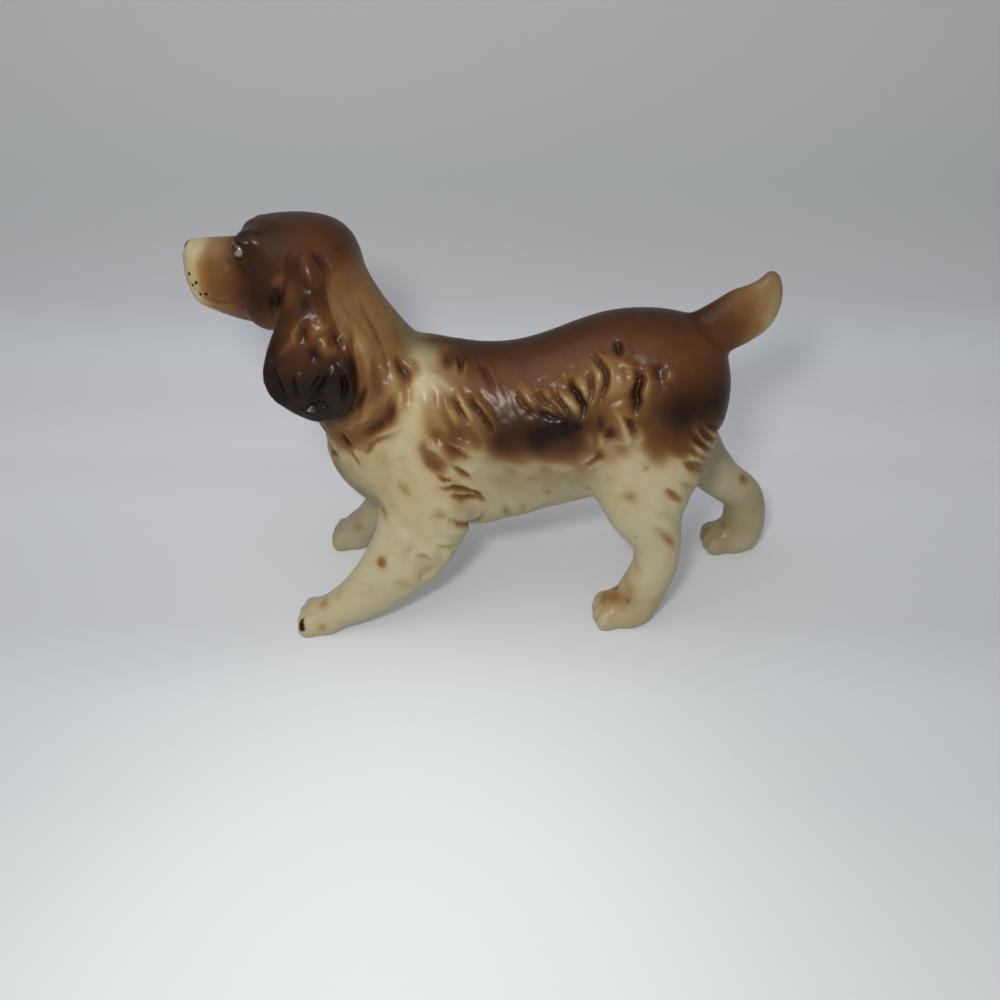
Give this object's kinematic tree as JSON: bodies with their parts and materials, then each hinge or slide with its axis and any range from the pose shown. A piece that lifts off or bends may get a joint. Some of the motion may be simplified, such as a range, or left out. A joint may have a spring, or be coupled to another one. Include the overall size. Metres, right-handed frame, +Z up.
{
  "type": "porcelain dog figurine",
  "caption": "Glazed porcelain figurine of a walking long-eared spaniel, hollow cast, that stands freely on its flat unglazed paw soles as an ornament.",
  "frame": {"origin": "middle of the bounding box, on the plane the four paws stand on", "axes": "-X is the way the dog faces, +X runs to its tail, -Y is the dog's left side, +Z is up"},
  "size_m": [0.1606, 0.0536, 0.1094],
  "materials": {
    "torso": "glossy clear glaze over sprayed chestnut brown and ivory",
    "head": "glossy clear glaze over sprayed red brown, muzzle fading to cream",
    "ear": "glossy clear glaze over blackish brown with amber locks",
    "tail": "glossy clear glaze over brown fading to cream",
    "leg": "glossy clear glaze over ivory with brown freckles, soles unglazed"
  },
  "bodies": {
    "root": {"torso": "torso", "head": "head", "left_ear": "ear", "right_ear": "ear", "tail": "tail", "left_foreleg": "leg", "right_foreleg": "leg", "left_hind_leg": "leg", "right_hind_leg": "leg"}
  },
  "joints": []
}
